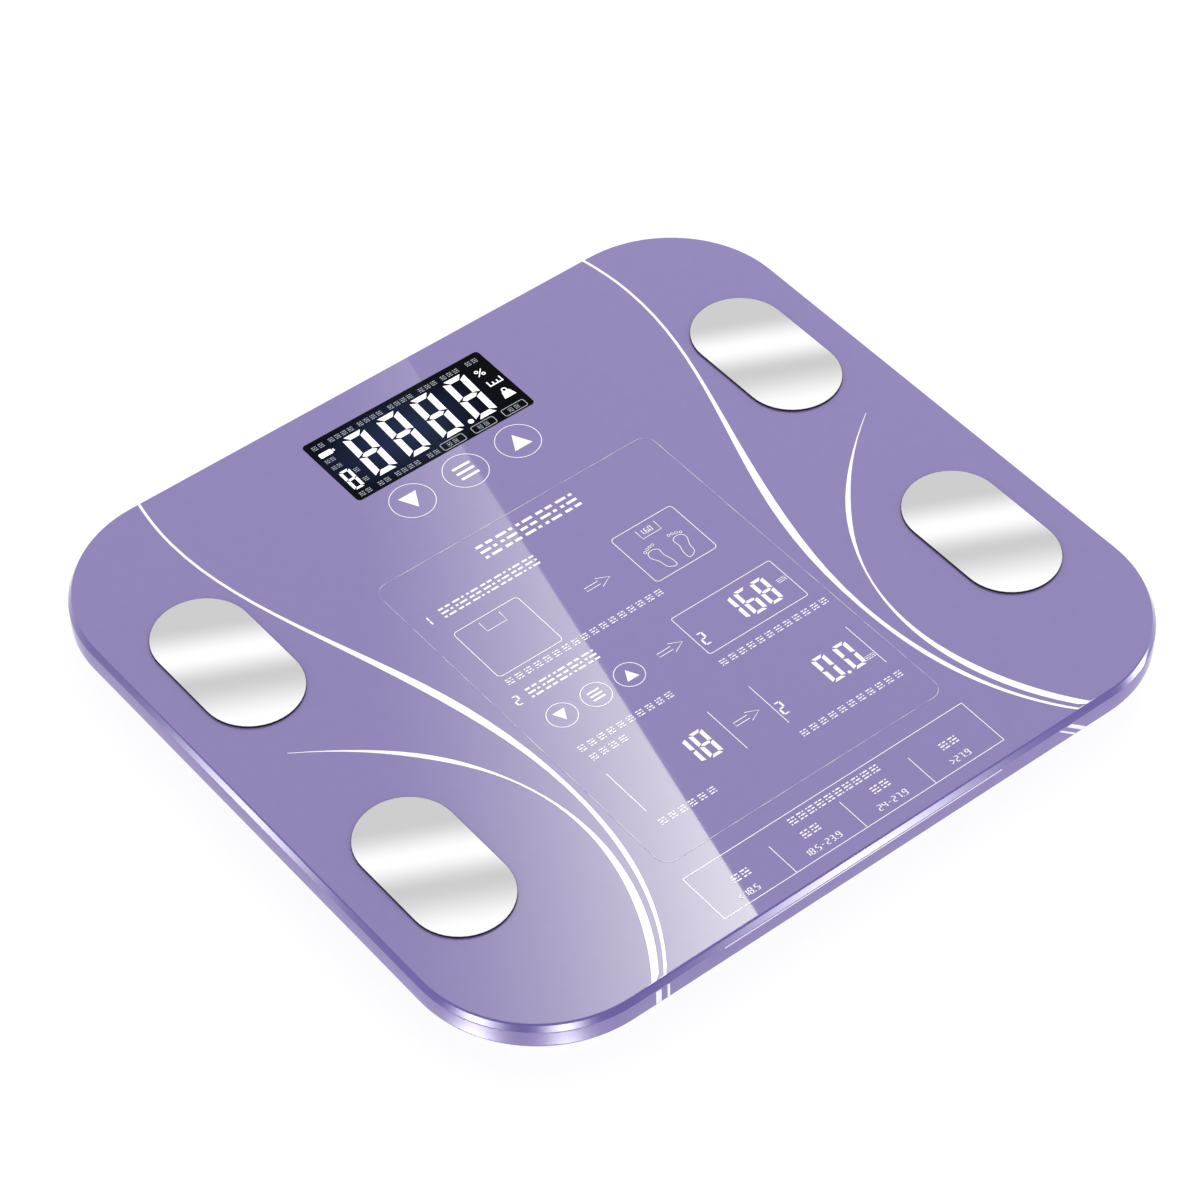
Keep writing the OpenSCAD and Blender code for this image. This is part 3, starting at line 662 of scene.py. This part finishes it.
def weight_mark(ink, x, y):
    """A weight with its ring, for the mass unit."""
    wide, tall, taper = 5, 3.3, 0.9
    ink.shape([(x, y), (x + wide, y), (x + wide - taper, y + tall), (x + taper, y + tall)])
    ink.ring(x + wide / 2, y + 4.0, 0.9, 0.5)


# ---- Printed artwork ----

# Where a printed line runs off the front and rear of the flat glass
RUN_OFF = HALF_D / MM + 2

# The curves on the right-hand side, in cubic pieces: an end, its two handles, and the next end
BULGE = (101, 115)
WAIST = (63.5, -58)
INNER_CURVE = ((98, RUN_OFF), (100, 132), (BULGE[0], 124), BULGE, (BULGE[0], 60), (WAIST[0], 10), WAIST,
    (WAIST[0], -92), (72, -120), (91, -RUN_OFF))
OUTER_WAIST = (70, -76)
OUTER_CURVE = ((126, 12), (88, -13), (OUTER_WAIST[0], -43), OUTER_WAIST, (OUTER_WAIST[0], -98), (79, -123),
    (95, -RUN_OFF))


def inner_width(y):
    """Width of the inner curve's line: fullest in mid-glass, and a little full past the waist."""
    return 1 + peak(y, -4, 44, 2) + peak(y, -92, 25, 0.7)


def outer_width(y):
    """Width of the outer curve's line: a fine tail, a short swelling, then a broad sweep forward."""
    return 0.1 + peak(y, -19, 19, 1.7) + peak(y, -118, 52, 2.6)


CURVES = ((INNER_CURVE, inner_width), (OUTER_CURVE, outer_width))


def curves():
    ink = Print()
    for side in (-1, 1):
        for curve, width in CURVES:
            path = cubics(curve)
            ink.line([(side * x, y) for x, y in path], [width(y) for x, y in path])
    ink.done("print_curves", white_ink_material)


def edge_print():
    """What shows of the print through the front side, the ends of the curves, and a thin white line along
    the front just under the bevel.
    """
    bm = bmesh.new()
    low, high = glass_low.z + 0.6 * MM, TOP - BEVEL_DOWN - 0.3 * MM
    outlines = []
    # On each side: how far the strips stand inside the curves' ends, and lean to the left at their top
    for side, shift, lean in ((-1, 3, 0), (1, 5, 7)):
        for curve, width in CURVES:
            x, half = side * (curve[-1][0] - shift), width(-RUN_OFF) / 2
            top = x - lean
            outlines.append([(x - half, low), (x + half, low), (top + half, high), (top - half, high)])
    # A thin white line along the front side, just under the bevel
    line_left, line_right, thin = -65, 53, 0.5 * MM
    outlines.append([(line_left, high - thin), (line_right, high - thin), (line_right, high),
        (line_left, high)])
    for outline in outlines:
        back = [bm.verts.new((x * MM, -HALF_D, z)) for x, z in outline]
        front = [bm.verts.new((x * MM, -HALF_D - LAYER, z)) for x, z in outline]
        bm.faces.new(back)
        bm.faces.new(list(reversed(front)))
        for i in range(4):
            j = (i + 1) % 4
            bm.faces.new((back[i], back[j], front[j], front[i]))
    glossy.objects.link(piece("print_edge", finished_mesh("print_edge", bm), white_ink_material))


# Width and height of the digits in the pictured displays, and of the small user's digit beside them
SHOWN_DIGIT = (5.7, 12.8)
SHOWN_USER = (2.8, 6.2)

# The arrows between the pictures: left end, then length and height
ARROW_X = -4.2
ARROW_SIZE = (10.4, 4.6)

# Size of the blocks in the lines under the pictures
CAPTION = 2.6


def instruction_panel():
    """Frame, heading and three steps: step on, set the user with the keys, stand for the reading."""
    border = Print()
    border.frame(-60.4, -104.4, 59.4, 53.2, 5, HAIRLINE)
    border.done("print_border", faint_ink())
    ink = Print()
    ink.marks(-21.2, 44, 7, 5, 8.7)
    step_on(ink)
    set_user(ink)
    stand_still(ink)
    ink.done("print_instructions", white_ink_material)


def step_on(ink):
    """The first step: the bare scale, then the scale with two feet on it."""
    ink.segments("1", -56, 27.4, 2.4, 4.6)
    ink.marks(-48.8, 29.8, 4.8, 7, 6)
    ink.frame(-51.5, -5.7, -24.2, 20.1, 1.6, HAIRLINE)
    ink.line([(-41.6, 18.4), (-41.6, 13.6), (-33.2, 13.6), (-33.2, 18.4)], HAIRLINE)
    ink.arrow(ARROW_X, 7.4, *ARROW_SIZE)
    ink.frame(16.9, -5.2, 43.7, 20.6, 1.6, HAIRLINE)
    ink.line([(26.2, 18.4), (26.2, 13.9), (34.3, 13.9), (34.3, 18.4)], HAIRLINE)
    ink.number("1.60", 26.9, 15.2, 1.3, 2.6)
    for side in (-1, 1):
        footprint(ink, 30.4, -3.2, side)
    ink.marks(-51, -9.2, CAPTION, 17, 4)


def set_user(ink):
    """The second step: the three keys, then the display that they set."""
    ink.segments("2", -54.4, -20, 2.6, 4.6)
    ink.marks(-48.4, -17.6, 4.8, 5, 6)
    for x, sign in ((-45.6, "down"), (-31.2, "menu"), (-17, "up")):
        ink.key(x, -32.2, 5.4, sign)
    ink.arrow(ARROW_X, -31.8, *ARROW_SIZE)
    ink.frame(9.6, -42.2, 53, -21.4, 0.8, HAIRLINE)
    ink.number("168", 25.8, -38.2, *SHOWN_DIGIT)
    ink.segments("2", 11.2, -38.4, *SHOWN_USER)
    ink.marks(48.6, -31, 1.8, 2, 2)
    ink.marks(-50.9, -47.8, CAPTION, 10, 4.1)
    ink.marks(-50.1, -53.2, CAPTION, 4, 4.1)
    ink.marks(9.7, -47.8, CAPTION, 12, 4)


def stand_still(ink):
    """The third step: the display before and after the reading."""
    for x in (-50.4, -7.6, 10.3, 52.9):
        ink.line([(x, -61.6), (x, -82.4)], HAIRLINE)
    ink.number("18", -26.9, -78.4, *SHOWN_DIGIT)
    ink.arrow(ARROW_X, -71.8, *ARROW_SIZE)
    ink.segments("2", 11.2, -79, *SHOWN_USER)
    ink.number("0.0", 33.3, -78.6, *SHOWN_DIGIT)
    ink.marks(48.6, -77, 1.8, 2, 2)
    ink.marks(-50, -89, CAPTION, 6, 4.1)
    ink.marks(10.1, -89, CAPTION, 11, 4.1)


def footprint(ink, x, y, side):
    """Outline of a bare foot beside x, its heel at y."""
    sole = [(4.2, 0.4), (2.6, 0.6), (2.6, 4.0), (3.4, 7.4), (3.2, 10.6), (5.0, 12.0), (7.4, 11.4),
        (8.0, 9.0), (6.6, 5.6), (6.0, 2.0), (4.2, 0.4)]
    length, first_toe, toe_pitch, toe_drop = 0.92, (3.6, 12.9), 1.4, 0.15
    ink.line([(x + side * px, y + length * py) for px, py in spline(sole, 4)[:-1]], 0.25, closed=True)
    for toe in range(4):
        toe_x, toe_y = first_toe[0] + toe_pitch * toe, first_toe[1] - toe_drop * toe * toe
        ink.ring(x + side * toe_x, y + toe_y, 0.5, 0.2)


def band_table():
    """Table of four bands: made-up marks for the headings and the ranges in figures."""
    low, heading_low, high = -133, -119, -112
    ink = Print()
    ink.frame(-59.4, low, 60, high, 0.3, HAIRLINE)
    for x in (-29.3, 0.6, 30.3):
        ink.line([(x, heading_low), (x, low + 0.2)], HAIRLINE)
    ink.marks(-17.8, -115.6, 2.9, 10, 3.9)
    for x in (-44, -14.6, 15.2, 45):
        ink.marks(x - 3.5, -122.4, 3, 2, 4)
    for x, text in ((-50.2, "<18.5"), (-22.6, "18.5-23.9"), (8.4, "24-27.9"), (40, ">27.9")):
        ink.number(text, x, -130.7, 1.6, 2.7)
    ink.done("print_table", white_ink_material)


def touch_keys():
    row, radius = 79.3, 8.3
    ink = Print()
    for x, sign in ((-24, "down"), (-0.8, "menu"), (22.4, "up")):
        ink.key(x, row, radius, sign)
    ink.done("print_keys", white_ink_material)


# ---- Electrodes ----

# Rings of the dome, as shares of the way in to the plate's middle
DOME_RINGS = (0.2, 0.4, 0.6, 0.8, 0.97)


def electrode(corner):
    """A slightly domed steel plate with a turned-down rim, built round its own middle."""
    low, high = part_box("electrode_" + corner)
    half_w, half_l = (high.x - low.x) / 2, (high.y - low.y) / 2
    tall = high.z - low.z
    rim, dome = 0.2 * MM, 0.1 * MM
    profile = [(0, 0)]
    for turn in range(0, 91, 15):
        a = math.radians(turn)
        profile.append((rim * (1 - math.cos(a)), tall - dome - rim * (1 - math.sin(a))))
    for share in DOME_RINGS:
        profile.append((rim + share * (half_w - rim), tall - dome * (1 - share) ** 2))
    rings = []
    reach = half_l - half_w
    for inset, z in profile:
        r = half_w - inset
        outline = arc(0, reach, r, 0, 180, 24) + arc(0, -reach, r, 180, 360, 24)
        rings.append([(x, y, z) for x, y in outline])
    mesh = finished_mesh("electrode_plate", lofted(rings), math.radians(30))
    thing = piece("electrode_plate_" + corner, mesh, steel_reflection_material, rim_shadow_material, slot="electrode_steel")
    thing.location = ((low.x + high.x) / 2, (low.y + high.y) / 2, low.z)
    # The rim and its rounding, all faces not facing up, take the painted shadow
    facing_up = 0.95
    for face in mesh.polygons:
        if face.normal.z < facing_up:
            face.material_index = 1
    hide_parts("electrode_" + corner)


# ---- Studio ----

WORLD_GLOW = 1.1
FLOOR_GLOW = 0.72
FLOOR_HALF = 6.0

# The key light's power in watts, its size and its place
KEY_POWER = 3
KEY_SIZE = 0.3
KEY_PLACE = Vector((0.75, 0.35, 0.95))


def add_floor():
    """A pale floor that glows a little, so that shadows on it stay faint."""
    bm = bmesh.new()
    half = FLOOR_HALF
    corners = ((-half, -half), (half, -half), (half, half), (-half, half))
    bm.faces.new([bm.verts.new((x, y, 0)) for x, y in corners])
    s = Shader("floor", Roughness=0.7, Specular_IOR_Level=0.0)
    s.set("Emission Color", (1, 1, 1))
    s.set("Emission Strength", FLOOR_GLOW)
    # Clear from below, to show the underside
    clear = s.tree.nodes.new("ShaderNodeBsdfTransparent")
    side = s.tree.nodes.new("ShaderNodeNewGeometry")
    both = s.tree.nodes.new("ShaderNodeMixShader")
    s.tree.links.new(side.outputs["Backfacing"], both.inputs["Fac"])
    s.tree.links.new(s.main.outputs["BSDF"], both.inputs[1])
    s.tree.links.new(clear.outputs["BSDF"], both.inputs[2])
    s.tree.links.new(both.outputs["Shader"], s.tree.nodes["Material Output"].inputs["Surface"])
    s.link(s.ramp(s.noise(3, 3), [(0.3, (0.30, 0.30, 0.30)), (0.7, (0.32, 0.32, 0.32))]), "Base Color")
    mesh = finished_mesh("floor", bm)
    mesh.materials.append(s.material)
    floor = bpy.data.objects.new("floor", mesh)
    bpy.context.scene.collection.objects.link(floor)


def mirrored(point, normal, away):
    """Where the view ray is, a distance away, after it is mirrored at a point of the surface."""
    back = camera_axes()[2]
    ray = (point - (VIEW_TARGET + VIEW_DISTANCE * back)).normalized()
    return point + away * ray.reflect(normal)


# The big soft box, seen in the top face: its image has a sharp edge from GLOSS_REAR to GLOSS_FRONT
GLOSS_REAR = (0.12 * HALF_W, HALF_D)
GLOSS_FRONT = (-0.337 * HALF_W, -HALF_D)
GLOSS_AWAY = 0.62
GLOSS_TINT = (1.0, 1.05, 0.76)
# Its glow rises along GLOSS_RUN: nothing at GLOSS_START and GLOSS_LEVEL at GLOSS_RISE further on, both in
# millimetres. It goes on rising to GLOSS_LIMIT times that way, and GLOSS_POWER is its power of the way
GLOSS_LEVEL = 6.6
GLOSS_RUN = (0.849, -0.528)
GLOSS_START = -86
GLOSS_RISE = 103
GLOSS_LIMIT = 1.3
GLOSS_POWER = 1.6


def gloss_strength(x, y):
    """The box's glow where the glass shows it at x, y: a smooth fall towards the rear left corner."""
    along = (GLOSS_RUN[0] * x + GLOSS_RUN[1] * y) / MM
    share = min(max((along - GLOSS_START) / GLOSS_RISE, 0), GLOSS_LIMIT)
    return GLOSS_LEVEL * share ** GLOSS_POWER


def soft_box():
    """The sheet whose image fills the left of the top face, from the sharp edge to past the glass."""
    columns, rows = 24, 24
    reach, end_reach = 1.25 * HALF_W, 1.05 * HALF_D
    up = Vector((0, 0, 1))
    grid = []
    for j in range(rows + 1):
        y = end_reach * (2 * j / rows - 1)
        edge = GLOSS_FRONT[0] + (GLOSS_REAR[0] - GLOSS_FRONT[0]) * (y - GLOSS_FRONT[1]) / (2 * HALF_D)
        line = []
        for i in range(columns + 1):
            x = edge - (reach + edge) * i / columns
            line.append((mirrored(Vector((x, y, TOP)), up, GLOSS_AWAY), gloss_strength(x, y)))
        grid.append(line)
    glow_sheet("soft_box", grid, GLOSS_TINT)


# Peaks of the glow along the edge: middle, width and height, in millimetres along the straight sides
# and in degrees of azimuth round the corners
LEFT_GLOW = ((2, 34, 6.8),)
NEAR_CORNER_GLOW = ((207.5, 8, 12), (241.5, 7, 12))
FRONT_GLOW = ((-8, 44, 10),)
RIGHT_CORNER_GLOW = ((289, 8, 8.5),)


def glow_at(place, peaks):
    return sum(peak(place, *one) for one in peaks)


def edge_stations():
    """Points round the left side, near corner, front and right corner: x, y, outward azimuth and glow."""
    straight_x, straight_y = HALF_W - CORNER_R, HALF_D - CORNER_R
    half_count, turn = 12, 3
    out = []
    for step in range(2 * half_count + 1):
        y = straight_y * (1 - step / half_count)
        out.append((-HALF_W, y, 180, glow_at(y / MM, LEFT_GLOW)))
    for a in range(180, 271, turn):
        x, y = arc(-straight_x, -straight_y, CORNER_R, a, a, 1)[0]
        out.append((x, y, a, glow_at(a, NEAR_CORNER_GLOW)))
    for step in range(2 * half_count + 1):
        x = straight_x * (step / half_count - 1)
        out.append((x, -HALF_D, 270, glow_at(x / MM, FRONT_GLOW)))
    for a in range(270, 361, turn):
        x, y = arc(straight_x, -straight_y, CORNER_R, a, a, 1)[0]
        out.append((x, y, a, glow_at(a, RIGHT_CORNER_GLOW)))
    return out


def edge_boxes():
    """Long thin soft boxes that show in the bevel, and low ones that show in the side below it."""
    slope = math.atan2(BEVEL_IN, BEVEL_DOWN)
    # Each box: how far in and down it shows, the tilt there and the spread about it, how far away the
    # box stands, and its share of the glow
    for name, inset, down, tilt, spread, away, share in (
            ("bevel_box", BEVEL_IN / 2, BEVEL_DOWN / 2, slope, math.radians(4), 0.08, 1.0),
            ("side_box", 0, 6.4 * MM, 0, math.radians(5.5), 0.022, 1.7)):
        grid = []
        for x, y, azimuth, glow in edge_stations():
            a = math.radians(azimuth)
            point = Vector((x - inset * math.cos(a), y - inset * math.sin(a), TOP - down))
            if name == "side_box" and not 180 < azimuth < 270:
                glow = 0
            line = []
            for t in (tilt - spread, tilt, tilt + spread):
                normal = Vector((math.cos(a) * math.cos(t), math.sin(a) * math.cos(t), math.sin(t)))
                line.append((mirrored(point, normal, away), share * glow))
            grid.append(line)
        glow_sheet(name, grid)


def glow_sheet(name, grid, tint=(1, 1, 1)):
    """A clear sheet through a grid of points, each with its glow. Only mirror images of it are seen."""
    bm = bmesh.new()
    layer = bm.verts.layers.float_color.new("glow")
    sheet = []
    for line in grid:
        sheet.append([])
        for place, glow in line:
            vert = bm.verts.new(place)
            vert[layer] = (*(glow * c for c in tint), 1)
            sheet[-1].append(vert)
    for near, far in zip(sheet, sheet[1:]):
        for i in range(len(near) - 1):
            bm.faces.new((near[i], near[i + 1], far[i + 1], far[i]))
    mesh = finished_mesh(name, bm)
    material = bpy.data.materials.new(name)
    material.use_nodes = True
    tree = material.node_tree
    tree.nodes.clear()
    out = tree.nodes.new("ShaderNodeOutputMaterial")
    light = tree.nodes.new("ShaderNodeEmission")
    source = tree.nodes.new("ShaderNodeAttribute")
    source.attribute_name = "glow"
    clear = tree.nodes.new("ShaderNodeBsdfTransparent")
    both = tree.nodes.new("ShaderNodeAddShader")
    tree.links.new(source.outputs["Color"], light.inputs["Color"])
    tree.links.new(light.outputs["Emission"], both.inputs[0])
    tree.links.new(clear.outputs["BSDF"], both.inputs[1])
    tree.links.new(both.outputs["Shader"], out.inputs["Surface"])
    mesh.materials.append(material)
    thing = bpy.data.objects.new(name, mesh)
    bpy.context.scene.collection.objects.link(thing)
    thing.visible_camera = False
    thing.visible_diffuse = False
    thing.visible_transmission = False
    thing.visible_shadow = False
    thing.light_linking.receiver_collection = glossy


def add_lights():
    world = bpy.data.worlds.new("studio")
    bpy.context.scene.world = world
    world.use_nodes = True
    background = world.node_tree.nodes["Background"]
    background.inputs["Color"].default_value = (1, 1, 1, 1)
    background.inputs["Strength"].default_value = WORLD_GLOW
    soft_box()
    edge_boxes()
    key = bpy.data.lights.new("key", "AREA")
    key.energy = KEY_POWER
    key.size = KEY_SIZE
    lamp = bpy.data.objects.new("key", key)
    aimed = KEY_PLACE.to_track_quat("Z", "Y").to_matrix().to_4x4()
    lamp.matrix_world = Matrix.Translation(KEY_PLACE) @ aimed
    lamp.visible_camera = False
    lamp.visible_glossy = False
    bpy.context.scene.collection.objects.link(lamp)


# ---- Build ----

white_ink_material = white_ink()
steel_reflection_material = steel_painted_reflection()
rim_shadow_material = rim_painted_shadow()
slots = {row["slot"]: moulded(row) for row in frame["record"]["materials"]}
for row in frame["record"]["subparts"]:
    node = frame["nodes"][row["node"]]
    node.data.materials.clear()
    node.data.materials.append(slots[row["material_slot"]])

platform()
screen()
curves()
edge_print()
instruction_panel()
band_table()
touch_keys()
for name in CORNERS:
    electrode(name)

add_floor()
add_lights()
